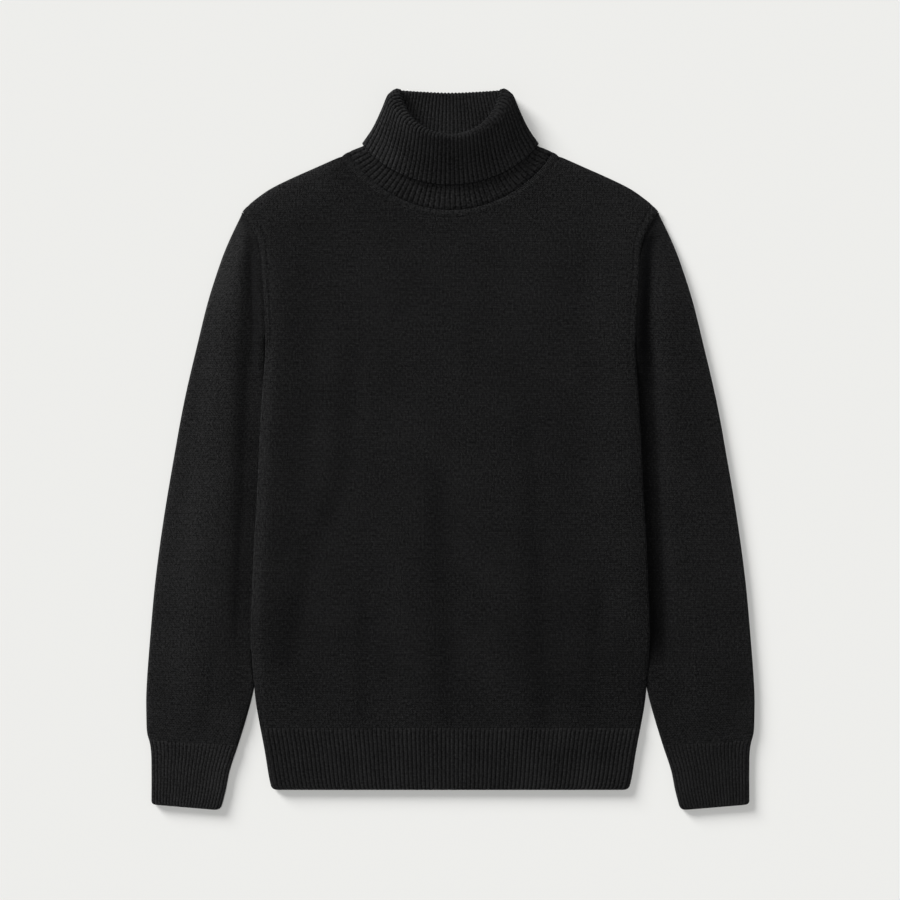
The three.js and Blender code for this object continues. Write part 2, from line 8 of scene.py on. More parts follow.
import bpy
import numpy as np
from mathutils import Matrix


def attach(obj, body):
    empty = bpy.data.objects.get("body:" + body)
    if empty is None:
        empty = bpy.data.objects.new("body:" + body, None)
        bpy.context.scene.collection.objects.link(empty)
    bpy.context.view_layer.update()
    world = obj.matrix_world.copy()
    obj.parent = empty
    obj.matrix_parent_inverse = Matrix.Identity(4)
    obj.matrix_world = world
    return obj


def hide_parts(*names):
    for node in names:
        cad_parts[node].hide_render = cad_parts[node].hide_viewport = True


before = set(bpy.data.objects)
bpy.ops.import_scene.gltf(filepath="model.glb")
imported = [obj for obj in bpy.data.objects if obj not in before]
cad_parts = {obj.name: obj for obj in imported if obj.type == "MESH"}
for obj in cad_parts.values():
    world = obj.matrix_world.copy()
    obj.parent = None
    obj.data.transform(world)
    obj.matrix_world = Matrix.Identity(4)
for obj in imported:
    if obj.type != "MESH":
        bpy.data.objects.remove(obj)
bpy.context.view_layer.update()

# The cloth.
WALL = 2.4  # jersey and rib ground, one layer
HALF = WALL / 2
SEAM = 0.12  # gap between two pieces at a seam
TIGHT = 0.3  # air between two layers pressed together
ROUND_CORNER = 4.5  # corners of hem and cuffs
CORNER_CUT = 0.9  # how much of a full quarter circle a corner takes away
ROUND_EDGE = 1.1  # the free edges of hem, cuffs and collar are rounded over this much
CRISP = 0.15  # a row this near a cut edge keeps its shading from spreading
QUARTER = math.pi / 2

# The body. Widths are half widths, from the middle line out.
SHOULDER_Y = 255.4
ARMPIT_Y = 113
ARMPIT_SOFT = 12  # the side seam opens into the armhole over this much, up and down
APEX_Y = -256  # below this the sleeve stands clear of the body
HEM_TOP = -299.7
HEM_END = -366.7
BODY_AIR = 3.2  # between front and back at the sides
MIDDLE_AIR = 2.2
SIDE_ZONE = (70, 15)  # between these distances from the edge, the sides' air takes over
NECK_ZONE = 70  # this far round the neck, front and back lie closer together
NECK_ZONE_Y = 250
NECK_PRESS = 0.6  # and so much closer at most
EDGE_DROP = {-1: 2.2, 1: 1.2}  # how far the top layer falls towards the left and right side
DROP_REACH = 12  # how far in from the side it starts to fall
SHOULDER_ROUND = 9  # how far in from the shoulder the top layer starts to turn down
SHOULDER_DROP = 1.2  # how much lower the top layer lies at the shoulder than at the chest
SHOULDER_REACH = 34  # how far from neck and shoulder that drop fades in

# Where body and sleeve lie on each other.
LIFT = 5.6  # the body's edge lies this high, on the sleeve
LIFT_LOW = (-240, -172)  # heights over which the edge rises onto the sleeve
LIFT_HIGH = (125, 250)  # heights over which it sinks again, up the armhole
LIFT_REACH = (12, 60)  # how far in from the edge the body comes down to the table
SEWN_LOW = (55, 104)  # heights over which the sleeve's inner edge rises to the body's
TUCK = 8  # how far the sleeve reaches under the body's edge
TUCK_LOW = (-228, -150)  # heights over which it comes under the edge
TUCK_HIGH = (43, 89)  # heights over which it comes out again, below the armpit

# The neck.
NECK_X = 116.1
NECK_SIDE_Y = 315.9
NECK_FRONT_Y = 251.6
NECK_BACK_Y = 301.2
NECK_ROUND = 0.8
RING_FLAT = 0.25  # how flat a ring of the neck lies; lower is flatter
NECK_CLOSE = 6  # over this much of a panel its neckline comes down to the shoulder seam
COLLAR_RIBS = 80
COLLAR_RISE = 0.95  # how far a rib stands up from the ground
BAND_GAP = 0.3  # gap beside the neck's covered seam, under its lips
BAND_LONG = 520  # the way round the neck's covered seam

# The rib knit of hem and cuffs, and the sleeves.
HEM_RIBS = 86
HEM_RISE = 1.0
HEM_AIR = 2.8
CUFF_RIBS = 21
CUFF_RISE = 0.62
CUFF_TOP = -318.1
CUFF_END = -388.3
CUFF_AIR = 2.6
SLEEVE_AIR = 3.4
SLEEVE_TOP = 246  # here the sleeve is pressed flat
SLEEVE_HEAD = 254.6  # and here it ends
SLEEVE_DOME = {-1: 5.4, 1: 3.6}  # how far the middle of the left and right sleeve stands up

# The stitches, and the covered seam at the armhole.
WALE = 2.9  # one column of stitches across
COURSE = 2.4  # one row of stitches high
SEAM_WIDE = 5.5
SEAM_RISE = 0.4
STITCH_GAP = 3.3  # from one stitch of the armhole seam to the next
STITCH_LINE = 0.6  # how far outside its strip the inner line of stitches runs

# How much lighter (above zero) or darker the wool's colour is made in places, as a share of its
# tone. Apart from the stand and the covered seam, which are only lighter all over, this is painted
# light: painted highlight and painted shade, with the left of the picture as the lit side.
SHOULDER_HIGHLIGHT = {-1: 0.6, 1: 0.32}  # painted highlight along the left and right shoulder
BELOW_SHOULDER_HIGHLIGHT = {-1: 0.3, 1: 0.08}  # and a fainter painted highlight a little below it
SIDE_HIGHLIGHT = 0.34  # painted highlight along the body's left edge
ARMHOLE_HIGHLIGHT = 0.35  # painted highlight along the top of the left armhole
SLEEVE_RIM_HIGHLIGHT = 0.3  # painted highlight along the outer edge of both sleeves
# painted highlight on the left cuff, a little painted shade on the right
CUFF_LIGHT_AND_SHADE = {-1: 0.36, 1: -0.05}
COLLAR_HIGHLIGHT = 0.95  # painted highlight on the folded-over part, at the left
STAND_PALE = 0.2  # the stand and the inside of the collar
BAND_PALE = 0.25
LOW_SHADE = 0.15  # painted shade towards the hem
LOWER_RIGHT_SHADE = 0.16  # painted shade towards the lower right of the body
FOLD_SHADE = 0.2  # painted shade for each millimetre of depth in the body's folds
HEM_SHADE = 0.08  # painted shade towards the right of the hem

# The edge of the body as it shows, (height, half width): side seam, then armhole.
BODY_EDGE = [
    (-380, 188.5), (-356.9, 194.9), (-324.5, 200.3), (-281.3, 208.4), (-259.7, 211.2),
    (-205.7, 214.9), (-162.5, 213.8), (-108.5, 211.7), (-54.5, 208.4), (24.3, 204.7),
    (76.1, 201.4), (104.2, 199.3), (131.2, 199.4), (186.3, 202.5), (214.4, 204.6),
    (230.6, 208.9), (244.6, 216.4), (255.4, 223.3),
]
# The outer edge of the sleeve, (height, distance from the middle line).
SLEEVE_OUT = [
    (-400, 322.3), (-335, 322.3), (-319, 323.5), (-306, 327), (-292, 327.8), (-260, 327.8),
    (-205.7, 324), (-140.9, 318.1), (-76.1, 309.4), (-11.3, 298.6), (53.5, 286.7),
    (118.3, 271.6), (161.5, 260.8), (204.7, 246.8), (226.3, 238.1), (253.3, 225.2),
]
# Its inner edge, where it stands clear of the body.
SLEEVE_IN = [
    (-388.3, 247.9), (-367.7, 242.5), (-346.1, 238.1), (-318, 228.9), (-292.1, 220.9),
    (-270.5, 214.9), (-256, 211.7),
]
# The top edge of the body, (distance from the middle line, height).
SHOULDER = [
    (116.1, 317), (137.7, 307.3), (173.9, 291.1), (194.9, 280.3), (210.1, 269.5),
    (216.5, 264), (223.4, 256.4),
]

# Soft troughs and ridges in the top layers: (depth, width, the line it follows). Depth below
# zero is a ridge.
BODY_FOLDS = [
    (1.2, 13, [(-108, 95), (-114, 8), (-120, -42), (-151, -110), (-179, -227)]),
    (0.9, 9, [(-92, -160), (-94, -285)]),
    (1.5, 15, [(-14, -30), (-8, -150), (-2, -290)]),
    (1.1, 13, [(82, 20), (88, -73), (94, -166), (99, -290)]),
    (0.8, 10, [(160, -150), (152, -283)]),
    (-0.5, 14, [(-52, -140), (-48, -280)]),
    (-0.5, 16, [(46, -120), (50, -285)]),
    (-0.4, 15, [(-134, 30), (-146, -60), (-170, -150)]),
    (0.4, 12, [(28, 150), (22, 60)]),
    (0.35, 14, [(-40, 190), (-62, 120), (-70, 30)]),
]
SLEEVE_FOLDS = [
    (2.2, 9, [(-214, 222), (-216, 140), (-221, 15), (-221, -90), (-221, -196)]),
    (0.9, 12, [(-270, 60), (-285, -60), (-292, -180), (-288, -280)]),
    (-0.5, 7, [(-210, 150), (-213, 60), (-222, -60)]),
    (0.6, 7, [(-252, -225), (-262, -300)]),
    (0.5, 8, [(-300, -215), (-305, -300)]),
    (1.8, 9, [(214, 222), (216, 130), (219, 10), (224, -110), (224, -200)]),
    (0.8, 13, [(262, 90), (276, -20), (284, -150), (282, -260)]),
    (0.6, 7, [(250, -230), (258, -300)]),
    (0.5, 8, [(303, -210), (306, -300)]),
]

# The collar's rings, from the seam up, over the fold and down to the free edge: half width,
# heights of sides, front and back on the table, how high front and back lie above it, and how
# round the ring is in front and at the back (low numbers are fuller).
COLLAR_RINGS = [
    (109.2, 319.6, 257.4, 307, 5.2, 1.2, 1.6, 1.6),
    (88, 328.6, 283, 321, 8.4, 4.4, 1.5, 1.6),
    (74, 352, 311, 353, 12.5, 4.4, 1.3, 1.8),
    (55, 382.6, 333.8, 381.6, 19, 4.4, 1.12, 3),
    (66, 379.4, 332.8, 381, 25, 1.2, 1.12, 3),
    (72.5, 364, 320, 367, 21.6, 1.2, 1.3, 1.8),
    (82, 345, 302.5, 349, 16.4, 1.2, 1.5, 1.6),
    (93.8, 328.2, 284.5, 330, 12, 1.2, 1.6, 1.6),
]
FOLD_RING = 3
FOLD_STEPS = 7
LIP = 0.24  # how far the neck's covered seam reaches over its neighbours, as a share of it


def mix(a, b, k):
    return a + (b - a) * k


def ease(a, b, x):
    """0 at a, 1 at b, with a soft start and end."""
    k = np.clip((np.asarray(x, float) - a) / (b - a), 0, 1)
    return k * k * (3 - 2 * k)


def read(table, at):
    """The second column of a table as a smooth curve over its first."""
    key, value = np.array(table, float).T
    slope = np.empty_like(value)
    slope[1:-1] = (value[2:] - value[:-2]) / (key[2:] - key[:-2])
    slope[0] = (value[1] - value[0]) / (key[1] - key[0])
    slope[-1] = (value[-1] - value[-2]) / (key[-1] - key[-2])
    at = np.clip(np.asarray(at, float), key[0], key[-1])
    i = np.clip(np.searchsorted(key, at, side="right") - 1, 0, len(key) - 2)
    h = key[i + 1] - key[i]
    return curve(value, slope, i, h, (at - key[i]) / h)


def curve(value, slope, i, h, t):
    """A point on the smooth curve from row i to the next, h long; t is the share of the way."""
    return (value[i] * (1 + 2 * t) * (1 - t) ** 2 + value[i + 1] * t * t * (3 - 2 * t)
            + h * (slope[i] * t * (1 - t) ** 2 - slope[i + 1] * t * t * (1 - t)))


def by_side(pair, x):
    """The left or right one of a pair of values, for places left or right of the middle."""
    return np.where(x < 0, pair[-1], pair[1])


def away(x, y, line):
    """How far points are from a line of points."""
    best = np.full(np.broadcast(x, y).shape, np.inf)
    for (ax, ay), (bx, by) in zip(line, line[1:]):
        dx, dy = bx - ax, by - ay
        t = np.clip(((x - ax) * dx + (y - ay) * dy) / (dx * dx + dy * dy), 0, 1)
        best = np.minimum(best, np.hypot(x - ax - t * dx, y - ay - t * dy))
    return best


def dip(folds, x, y):
    """How deep the folds are at a place."""
    return sum(deep * np.exp(-((away(x, y, line) / wide) ** 2)) for deep, wide, line in folds)


def unit(v):
    return v / np.maximum(np.linalg.norm(v, axis=-1, keepdims=True), 1e-12)


def slopes(p, axis, wrap=False):
    """How a grid of points runs along one of its axes."""
    if wrap:
        return np.roll(p, -1, axis) - np.roll(p, 1, axis)
    out = np.empty_like(p)
    p, out = np.moveaxis(p, axis, 0), np.moveaxis(out, axis, 0)
    out[1:-1], out[0], out[-1] = p[2:] - p[:-2], p[1] - p[0], p[-1] - p[-2]
    return np.moveaxis(out, 0, axis)


# Meshes.

FAR_OFF = 999.0  # stands for a place that is nowhere near the armhole seam


def stitch(a, b, at_a, at_b, wrap):
    """Triangles between two rows of points, a and b, with places at_a and at_b along them."""
    a, b, at_a, at_b = list(a), list(b), list(at_a), list(at_b)
    if wrap:
        a, at_a = a + a[:1], at_a + [at_a[0] + wrap]
        b, at_b = b + b[:1], at_b + [at_b[0] + wrap]
    faces, i, j = [], 0, 0
    while i < len(a) - 1 or j < len(b) - 1:
        next_a = at_a[i + 1] if i < len(a) - 1 else math.inf
        next_b = at_b[j + 1] if j < len(b) - 1 else math.inf
        if next_a <= next_b + 1e-9:
            faces.append((a[i], a[i + 1], b[j]))
            i += 1
        else:
            faces.append((a[i], b[j + 1], b[j]))
            j += 1
    return faces


def quads(first, rows, columns, wrap, flip):
    """The faces of a grid whose points are numbered from first, row by row."""
    steps = columns if wrap else columns - 1
    i, j = np.meshgrid(np.arange(rows - 1), np.arange(steps), indexing="ij")
    i, j = i.ravel(), j.ravel()
    right = (j + 1) % columns
    face = np.stack([i * columns + j, i * columns + right, (i + 1) * columns + right,
                     (i + 1) * columns + j], axis=1) + first
    return face[:, ::-1] if flip else face


class Skin:
    """One face of a cloth: a grid of points, with its rows' and columns' places and its UVs.

    seam is how far a point is from the armhole seam, and how far along it. The last argument is how
    much lighter (above zero) or darker the wool's colour is made, as a share of its tone: painted
    highlight and painted shade, and a plain lighter tone on the collar's stand and the covered seam.
    """

    def __init__(self, points, rows, columns, uv, seam=None, tone_and_painted_light=0.0):
        self.points, self.rows, self.columns, self.uv = points, list(rows), list(columns), uv
        self.seam = np.full(uv.shape, FAR_OFF) if seam is None else seam
        self.tone_and_painted_light = np.stack([tone_and_painted_light + 0 * uv[..., 0], 0 * uv[..., 0]], axis=-1)


def cloth(name, outer, inner, material, node, wrap=0.0, flip=False):
    """A closed thin shell between an outer and an inner skin, put in place of a solid."""
    skins = [outer, inner]
    first = [0, outer.points.shape[0] * outer.points.shape[1]]
    places = np.concatenate([s.points.reshape(-1, 3) for s in skins]) * 0.001
    uv = np.concatenate([s.uv.reshape(-1, 2) for s in skins])
    seam = np.concatenate([s.seam.reshape(-1, 2) for s in skins])
    tone_and_painted_light = np.concatenate([s.tone_and_painted_light.reshape(-1, 2) for s in skins])
    ids = [f + np.arange(s.points.shape[0] * s.points.shape[1]).reshape(s.points.shape[:2])
           for f, s in zip(first, skins)]
    faces = []
    for k, s in enumerate(skins):
        faces += quads(first[k], *s.points.shape[:2], bool(wrap), k == 1).tolist()
    (out, inn), (o, n) = ids, skins
    faces += stitch(inn[0], out[0], n.columns, o.columns, wrap)
    faces += stitch(out[-1], inn[-1], o.columns, n.columns, wrap)
    if not wrap:
        faces += stitch(out[:, 0], inn[:, 0], o.rows, n.rows, 0)
        faces += stitch(inn[:, -1], out[:, -1], n.rows, o.rows, 0)
    if flip:
        faces = [f[::-1] for f in faces]
    mesh = bpy.data.meshes.new(name)
    mesh.from_pydata(places.tolist(), [], faces)
    mesh.polygons.foreach_set("use_smooth", np.ones(len(mesh.polygons), bool))
    corner = np.empty(len(mesh.loops), np.int64)
    mesh.loops.foreach_get("vertex_index", corner)
    # the last layer carries painted highlight and painted shade, with the plain lighter tone of
    # stand and covered seam
    for layer, values in (("knit", uv), ("seam", seam), ("tone_and_painted_light", tone_and_painted_light)):
        picked = values[corner]
        if wrap and layer == "knit":
            picked = unbroken(mesh, picked, float(values[:, 0].max()))
        mesh.uv_layers.new(name=layer).data.foreach_set("uv", picked.astype(np.float32).ravel())
    mesh.materials.append(material)
    piece = bpy.data.objects.new(name, mesh)
    bpy.context.scene.collection.objects.link(piece)
    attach(piece, "root")
    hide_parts(node)
    return piece


def unbroken(mesh, uv, most):
    """The UVs again, with the faces that close a ring running on instead of back."""
    total = np.empty(len(mesh.polygons), np.int32)
    mesh.polygons.foreach_get("loop_total", total)
    owner = np.repeat(np.arange(len(total)), total)
    high = np.full(len(total), -np.inf)
    np.maximum.at(high, owner, uv[:, 0])
    back = high[owner] - uv[:, 0] > most / 2
    uv[back, 0] += most
    return uv


# Body and hem. u runs across: up to 1 on the flat and on to 2 round the edge, with its sign.


def edge_x(y):
    return read(BODY_EDGE, y)


def closed_side(y):
    """1 along the side seam, 0 up the armhole, where the sleeve is sewn in."""
    return 1 - ease(ARMPIT_Y - ARMPIT_SOFT, ARMPIT_Y + ARMPIT_SOFT, y)


def sewn_side(y):
    """The same, with a quick change at the armpit."""
    return np.clip(closed_side(y) * 12, 0, 1)


def armhole(y):
    """0 below the armpit, 1 up the armhole, for the seam's strip and stitches."""
    return ease(ARMPIT_Y - 16, ARMPIT_Y + 4, y)


def lift_at(y):
    return LIFT * ease(*LIFT_LOW, y) * (1 - ease(*LIFT_HIGH, y))


def nose_of(air):
    """The radius of the middle of a wall that folds round this much air."""
    return (WALL + air) / 2


def corner_cut(far):
    """How far a rounded lower corner cuts in, at a height above its free end."""
    rest = np.clip(1 - far / ROUND_CORNER, 0, 1)
    return ROUND_CORNER * (1 - np.sqrt(1 - rest**2)) * CORNER_CUT


def mid_edge(y):
    """Half the width at the middle of the wall."""
    return edge_x(y) - mix(SEAM / 2, HALF, sewn_side(y)) - corner_cut(y - HEM_END)


def across_body(u, y):
    """How far out a place is, and how far it is up from the seam to its own layer."""
    q, flat = np.abs(u), mid_edge(y) - nose_of(BODY_AIR)
    turn = QUARTER * np.clip(2 - q, 0, 1)
    x = np.where(q <= 1, flat * q, flat + nose_of(BODY_AIR) * np.cos(turn))
    return x, np.where(q <= 1, 1.0, np.sin(turn))


def closed_top(x, front):
    """Where front and back meet along the top: the shoulders, and a little of the neck."""
    return ease(NECK_X - (12 if front else 4), NECK_X + 1, x)


def top_edge(x, front):
    """The height of a panel's top edge: its neckline, then its shoulder."""
    neck = np.clip(1 - (x / NECK_X) ** 2, 0, 1) ** NECK_ROUND
    low = NECK_FRONT_Y if front else NECK_BACK_Y
    return np.where(x >= NECK_X - 1e-6, read(SHOULDER, x) - HALF,
                    mix(NECK_SIDE_Y, low, neck) - BAND_GAP)


def air_at(x, y):
    """The air between front and back."""
    side = ease(*SIDE_ZONE, edge_x(y) - np.abs(x))
    neck = 1 - ease(0, NECK_ZONE, np.hypot(x * 0.7, np.maximum(0, NECK_ZONE_Y - y)))
    plain = mix(MIDDLE_AIR, BODY_AIR, side) - NECK_PRESS * neck
    return np.maximum(TIGHT, plain - dip(BODY_FOLDS, x, y) * (1 - side))


def body_sheet(front, u, y):
    """The middle of a body panel's wall. y is the height of the row at the body's edge."""
    sign = by_side({-1: -1.0, 1: 1.0}, u)
    x, turn = across_body(u, y)
    x_top, _ = across_body(u, SHOULDER_Y)
    rise = np.clip((y - HEM_TOP) / (SHOULDER_Y - HEM_TOP), 0, 1) ** 2
    along = ease(NECK_X - 6, NECK_X + SHOULDER_REACH, x_top)
    from_top = np.clip((SHOULDER_Y - y) / mix(NECK_CLOSE, SHOULDER_ROUND, along), 0, 1)
    turn_top = mix(ease(0, 1, from_top), np.sqrt(1 - (1 - from_top) ** 2), along)
    over = mix(1, turn, closed_side(y)) * mix(1, turn_top, closed_top(x_top, front))
    height = y + (top_edge(x_top, front) - SHOULDER_Y) * rise
    low = HALF + lift_at(y) * (1 - ease(*LIFT_REACH, edge_x(y) - x))
    high = low + WALL + air_at(x * sign, height)
    seam = (low + high) / 2 + (SEAM if front else -SEAM) / 2
    high = high - by_side(EDGE_DROP, u) * ease(DROP_REACH, 0, edge_x(y) - x) * closed_side(y)
    high = high - SHOULDER_DROP * ease(SHOULDER_REACH, 0, SHOULDER_Y - y) * along
    return np.stack([x * sign, height, mix(seam, high if front else low, over)], axis=-1)


def facing(sheet, u, y, ends_u, ends_y, up):
    """The direction out of a sheet at each u, y; up is 1 for a top layer and -1 for a lower one."""
    du, dy = 8e-4, 0.013

    def at(p, q):
        return sheet(np.clip(p, *ends_u), np.clip(q, *ends_y))

    along = at(u + du, y) - at(u - du, y)
    across = at(u, y + dy) - at(u, y - dy)
    return unit(np.cross(along, across)) * up


def both_sides(half):
    """Places from the middle out, and the same to the other side."""
    return np.concatenate([-half[:0:-1], half])


def closer(count, power):
    """Places from 0 to 1 that lie closer together towards 1."""
    return 1 - (1 - np.linspace(0, 1, count)) ** power


def body_columns(fine):
    """Places across, closer together near the neck's side and the edge, then round it."""
    flat = float(across_body(1.0, SHOULDER_Y)[0])
    neck = NECK_X * closer(44 if fine else 12, 1.25) / flat
    shoulder = mix(NECK_X / flat, 1, closer(46 if fine else 8, 1.4)[1:])
    edge = np.linspace(1, 2, 8 if fine else 5)[1:]
    return both_sides(np.concatenate([neck, shoulder, edge]))


def body_rows(fine):
    low, high = HEM_TOP + SEAM / 2, SHOULDER_Y - SHOULDER_ROUND
    rows = np.linspace(low, high, int((high - low) / (2.7 if fine else 18)))
    top = SHOULDER_Y - SHOULDER_ROUND * (1 - np.sin(np.linspace(0, QUARTER, 12)[1:]))
    return np.concatenate([[low, low + CRISP], rows[1:], top])


def armhole_strip(d, on):
    """The raised strip over the armhole seam: d is the distance in from the seam."""
    raised = ease(-0.6, 1.4, d) * (1 - ease(SEAM_WIDE - 1.6, SEAM_WIDE + 0.9, d))
    groove = np.exp(-((d - SEAM_WIDE - STITCH_LINE) / 0.9) ** 2)
    return on * (SEAM_RISE * raised - 0.15 * groove)


def body_painted_light(x, y, height, d):
    """Painted highlight and painted shade on the body, as a share of the wool's tone: lighter at the
    shoulders and the lit left edge, darker towards the hem, the lower right and in the folds. y is
    the height of the row, d how far in from its edge.
    """
    left, down = x < 0, SHOULDER_Y - y
    shoulder = (by_side(SHOULDER_HIGHLIGHT, x) * ease(9, 0, down)
                + by_side(BELOW_SHOULDER_HIGHLIGHT, x) * ease(36, 8, down))
    edge = left * (SIDE_HIGHLIGHT * ease(20, 3, d) * ease(-270, -230, y)
                   + ARMHOLE_HIGHLIGHT * ease(3.5, 1, d) * ease(175, 215, y))
    low = LOW_SHADE * ease(-40, -240, y) + LOWER_RIGHT_SHADE * ease(-20, 120, x) * ease(200, 0, y)
    pale = np.maximum(shoulder * ease(NECK_X, NECK_X + 22, np.abs(x)), edge)
    return pale - low - FOLD_SHADE * dip(BODY_FOLDS, x, height)


def body_skin(front, fine, side):
    """One face of a body panel; side is 1 for its outside and -1 for its inside."""
    def sheet(p, q):
        return body_sheet(front, p, q)

    u, y = np.meshgrid(body_columns(fine), body_rows(fine))
    middle = sheet(u, y)
    ends_y = (HEM_TOP + SEAM / 2, SHOULDER_Y)
    out = facing(sheet, u, y, (-2, 2), ends_y, 1 if front else -1)
    out[0, :, 1] = 0
    x, height = middle[..., 0], middle[..., 1]
    d, on = edge_x(y) - np.abs(x), armhole(y)
    far = side * HALF + (armhole_strip(d, on) if fine and side > 0 else 0 * y)
    seam = np.stack([mix(FAR_OFF, d, on > 0.5), y], axis=-1)
    return Skin(middle + unit(out) * far[..., None], y[:, 0], u[0], middle[..., :2].copy(), seam,
                body_painted_light(x, y, height, d))


def rib_rows(end, top, count):
    """Rows up a hem or cuff, closer together round its corners and at its cut edge."""
    near = ROUND_CORNER * np.array([0, 0.03, 0.08, 0.16, 0.27, 0.4, 0.6, 0.8])
    steps = mix(end + ROUND_CORNER, top, np.linspace(0, 1, count))
    return np.unique(np.concatenate([end + near, steps, [top - CRISP]]))


def edge_round(far):
    """How thick a wall is, as a share, at a distance from its free edge."""
    k = np.clip(far / ROUND_EDGE, 0, 1)
    return np.sqrt(np.clip(1 - (1 - k) ** 2, 0.03, 1))


def rib_rise(place):
    """The height of rib knit: rounded crests with narrow valleys, one for each whole number."""
    return np.abs(np.sin(math.pi * place)) ** 1.1


def hem_piece(front, material):
    def sheet(u, y):
        sign = by_side({-1: -1.0, 1: 1.0}, u)
        x, turn = across_body(u, y)
        high = HALF + WALL + mix(air_at(x * sign, HEM_TOP), HEM_AIR, ease(HEM_TOP, HEM_END, y))
        seam = (HALF + high) / 2 + (SEAM if front else -SEAM) / 2
        return np.stack([x * sign, y + 0 * x, mix(seam, high if front else HALF, turn)], axis=-1)

    def skin(side, fine):
        flat = np.linspace(-1, 1, HEM_RIBS * 9 + 1 if fine else 30)
        nose = np.linspace(1, 2, 12 if fine else 5)[1:]
        rows = rib_rows(HEM_END, HEM_TOP - SEAM / 2, 36 if fine else 6)
        u, y = np.meshgrid(np.concatenate([-nose[::-1], flat, nose]), rows)
        middle = sheet(u, y)
        out = facing(sheet, u, y, (-2, 2), (HEM_END, HEM_TOP), 1 if front else -1)
        out[..., 1] = 0
        thick = edge_round(y - HEM_END)
        ribs = np.clip(u, -1.03, 1.03) * HEM_RIBS / 2
        rise = rib_rise(ribs) * HEM_RISE * ease(0, 4, HEM_TOP - y) * ease(1.06, 1, np.abs(u))
        far = side * HALF * thick + (rise * thick if fine else 0)
        # painted shade towards the right of the hem
        return Skin(middle + unit(out) * far[..., None], y[:, 0], u[0],
                    np.stack([ribs, y], axis=-1), tone_and_painted_light=-HEM_SHADE * ease(-100, 160, middle[..., 0]))

    layer = "front" if front else "back"
    return cloth("welt_" + layer, skin(1, front), skin(-1, False), material,
                 "hem_rib_" + layer, flip=not front)


# Sleeves and cuffs. c runs round the tube: 0 to 1 the lower inner edge, 1 to 2 the lower
# layer, 2 to 3 the outer edge, 3 to 4 the upper layer, 4 to 5 the upper inner edge.


def tuck_at(y):
    return TUCK * (1 - ease(*TUCK_HIGH, y)) * ease(*TUCK_LOW, y)


def sleeve_line(y):
    """The ends of the line across the sleeve at each height, at the middle of its wall."""
    beside = edge_x(y) + mix(SEAM / 2, SEAM + HALF, sewn_side(y)) - tuck_at(y)
    clear = read(SLEEVE_IN, y) + HALF
    head = 4 * ease(205, SLEEVE_TOP, y) - 3.4 * ease(SLEEVE_TOP - 2, SLEEVE_HEAD, y)
    outer_y = y + 5.4 * ease(-220, -312, y) + head
    cut = corner_cut(y - CUFF_END)
    inner_x = mix(beside, clear, ease(APEX_Y + 10, APEX_Y - 6, y)) + cut
    return inner_x, y, read(SLEEVE_OUT, outer_y) - HALF - cut, outer_y


def sleeve_section(side, c, y, gap=SEAM, air_wanted=SLEEVE_AIR):
    """The middle of the sleeve's wall, for the sleeve at +X; side says which folds it has."""
    x0, y0, x1, y1 = sleeve_line(y)
    wide = np.hypot(x1 - x0, y1 - y0)
    closed = closed_side(y)
    raised = LIFT * (1 - ease(*LIFT_HIGH, y)) * ease(*SEWN_LOW, y)
    near = mix(BODY_AIR * (1 - ease(200, SLEEVE_TOP, y)) + TIGHT, TIGHT, closed)
    full = mix(mix(CUFF_AIR, air_wanted, ease(CUFF_TOP, CUFF_TOP + 26, y)), TIGHT,
               ease(190, SLEEVE_TOP, y))
    clear_of = ease(-232, -300, y)
    dome = SLEEVE_DOME[side] * ease(24, 80, wide) * ease(CUFF_TOP, CUFF_TOP + 70, y)

    # q is how far across the sleeve a point is, from its inner edge.
    def low(q):
        return HALF + raised * (1 - ease(2.5, 14, q))

    def air(q):
        x, yy = mix(x0, x1, q / wide), mix(y0, y1, q / wide)
        k = ease(4, 34, q - tuck_at(y) + 26 * clear_of)
        fall = dip(SLEEVE_FOLDS, x * side, yy) * ease(0, 12, q) * ease(0, 22, wide - q)
        arch = ease(0.14, 0.54, q / wide) * ease(0.0, 0.42, 1 - q / wide)
        return np.maximum(TIGHT, mix(near, full, k) - fall + dome * arch)

    def top(q):
        return low(q) + WALL + air(q)

    r_in = np.minimum(nose_of(air(1 + 0 * wide)), wide * 0.3)
    r_out = np.minimum(nose_of(air(wide - 3)), wide * 0.3)
    span = wide - r_in - r_out
    turn_in = QUARTER * np.clip(np.where(c <= 1, c, 5 - c), 0, 1)
    q_in = r_in * (1 - np.cos(turn_in))
    seam = (low(q_in) + top(q_in)) / 2 + np.where(c <= 1, -gap, gap) / 2
    z_in = mix(seam, np.where(c <= 1, low(q_in), top(q_in)), mix(1, np.sin(turn_in), closed))
    q_low, q_top = r_in + span * np.clip(c - 1, 0, 1), wide - r_out - span * np.clip(c - 3, 0, 1)
    turn_out = math.pi * np.clip(c - 2, 0, 1) - QUARTER
    q_out = wide - r_out
    z_out = mix(low(q_out), top(q_out), (1 + np.sin(turn_out)) / 2)
    inner, lower, outer = (c <= 1) | (c >= 4), c < 2, c <= 3
    q = np.where(inner, q_in, np.where(lower, q_low, np.where(
        outer, q_out + r_out * np.cos(turn_out), q_top)))
    z = np.where(inner, z_in, np.where(lower, low(q_low), np.where(outer, z_out, top(q_top))))
    return np.stack([mix(x0, x1, q / wide), mix(y0, y1, q / wide), z], axis=-1)


def tube_facing(section, c, y, wrap):
    """The direction out of the tube, in the upright plane of its section."""
    step = 1e-3
    before = section(np.where(c < step, 5 - step, c - step) if wrap else np.maximum(c - step, 0), y)
    after = section(np.minimum(c + step, 5), y)
    flat = section(3 + 0 * c, y) - section(1.001 + 0 * c, y)
    flat[..., 2] = 0
    flat = unit(flat)
    t = after - before
    run = (t * flat).sum(-1, keepdims=True)
    return unit(flat * t[..., 2:] - run * np.array([0, 0, 1.0]))


